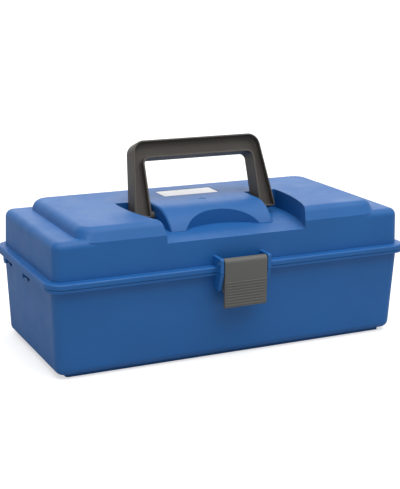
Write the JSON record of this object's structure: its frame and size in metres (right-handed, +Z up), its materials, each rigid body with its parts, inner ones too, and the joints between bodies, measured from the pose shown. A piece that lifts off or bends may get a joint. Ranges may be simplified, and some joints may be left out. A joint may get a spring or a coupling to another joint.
{
  "type": "portable tackle box",
  "caption": "Moulded plastic tackle box with a hinged lid, folding carry handle, flap latch and a cantilever tray that rises with the lid.",
  "frame": {"origin": "bottom centre of the closed box, on the surface it stands on", "axes": "+X along the box to its right end, -Y towards the latch, +Z up"},
  "size_m": [0.334, 0.1708, 0.1749],
  "materials": {
    "tub_plastic": "satin moulded polypropylene, royal blue",
    "lid_plastic": "satin moulded polypropylene, royal blue",
    "handle_plastic": "satin moulded plastic, warm dark grey",
    "latch_plastic": "satin moulded plastic, mid grey",
    "plate": "satin, bare",
    "pin_steel": "bright drawn wire",
    "tray_plastic": "satin moulded polypropylene, light grey",
    "divider_plastic": "satin moulded polypropylene, light grey",
    "arm_plastic": "satin moulded acetal, royal blue"
  },
  "bodies": {
    "base": {"base_tub": "tub_plastic", "hinge_pin_left": "pin_steel", "hinge_pin_right": "pin_steel"},
    "lid": {"lid_shell": "lid_plastic", "name_plate": "plate", "latch_pin": "pin_steel"},
    "handle": {"handle": "handle_plastic"},
    "latch": {"latch": "latch_plastic"},
    "tray": {"tray": "tray_plastic", "tray_divider_1": "divider_plastic", "tray_divider_2": "divider_plastic", "tray_divider_3": "divider_plastic", "tray_divider_4": "divider_plastic", "tray_divider_5": "divider_plastic"},
    "arm_rear_left": {"arm_rear_left": "arm_plastic"},
    "arm_front_left": {"arm_front_left": "arm_plastic"},
    "lid_link_left": {"lid_link_left": "arm_plastic"},
    "arm_rear_right": {"arm_rear_right": "arm_plastic"},
    "arm_front_right": {"arm_front_right": "arm_plastic"},
    "lid_link_right": {"lid_link_right": "arm_plastic"}
  },
  "joints": [
    {"name": "lid_hinge", "type": "hinge", "parent": "base", "child": "lid", "pos_m": [0, 0.0814, 0.0776], "axis": [-1, 0, 0], "range_deg": [0, 100]},
    {"name": "handle_fold", "type": "hinge", "parent": "lid", "child": "handle", "pos_m": [0, -0.005, 0.1123], "axis": [1, 0, 0], "range_deg": [0, 111]},
    {"name": "latch_flip", "type": "hinge", "parent": "lid", "child": "latch", "pos_m": [0, -0.0812, 0.0861], "axis": [-1, 0, 0], "range_deg": [0, 150]},
    {"name": "arm_rear_left_turn", "type": "hinge", "parent": "base", "child": "arm_rear_left", "pos_m": [-0.15, 0.0555, 0.071], "axis": [-1, 0, 0], "range_deg": [0, 100]},
    {"name": "arm_front_left_turn", "type": "hinge", "parent": "base", "child": "arm_front_left", "pos_m": [-0.15, 0.00547, 0.071], "axis": [-1, 0, 0], "range_deg": [0, 100]},
    {"name": "lid_link_left_turn", "type": "hinge", "parent": "lid", "child": "lid_link_left", "pos_m": [-0.148, 0.05342, 0.07858], "axis": [-1, 0, 0], "range_deg": [-100, 0]},
    {"name": "arm_rear_right_turn", "type": "hinge", "parent": "base", "child": "arm_rear_right", "pos_m": [0.15, 0.0555, 0.071], "axis": [-1, 0, 0], "range_deg": [0, 100]},
    {"name": "arm_front_right_turn", "type": "hinge", "parent": "base", "child": "arm_front_right", "pos_m": [0.15, 0.00547, 0.071], "axis": [-1, 0, 0], "range_deg": [0, 100]},
    {"name": "lid_link_right_turn", "type": "hinge", "parent": "lid", "child": "lid_link_right", "pos_m": [0.148, 0.05342, 0.07858], "axis": [-1, 0, 0], "range_deg": [-100, 0]},
    {"name": "tray_level", "type": "hinge", "parent": "arm_rear_left", "child": "tray", "pos_m": [-0.147, 0.00053, 0.07292], "axis": [-1, 0, 0], "range_deg": [-100, 0]}
  ],
  "couplings": [
    {"joint": "arm_rear_left_turn", "follows": "lid_hinge", "ratio": 1},
    {"joint": "arm_front_left_turn", "follows": "lid_hinge", "ratio": 1},
    {"joint": "lid_link_left_turn", "follows": "lid_hinge", "ratio": -1},
    {"joint": "arm_rear_right_turn", "follows": "lid_hinge", "ratio": 1},
    {"joint": "arm_front_right_turn", "follows": "lid_hinge", "ratio": 1},
    {"joint": "lid_link_right_turn", "follows": "lid_hinge", "ratio": -1},
    {"joint": "tray_level", "follows": "lid_hinge", "ratio": -1}
  ]
}
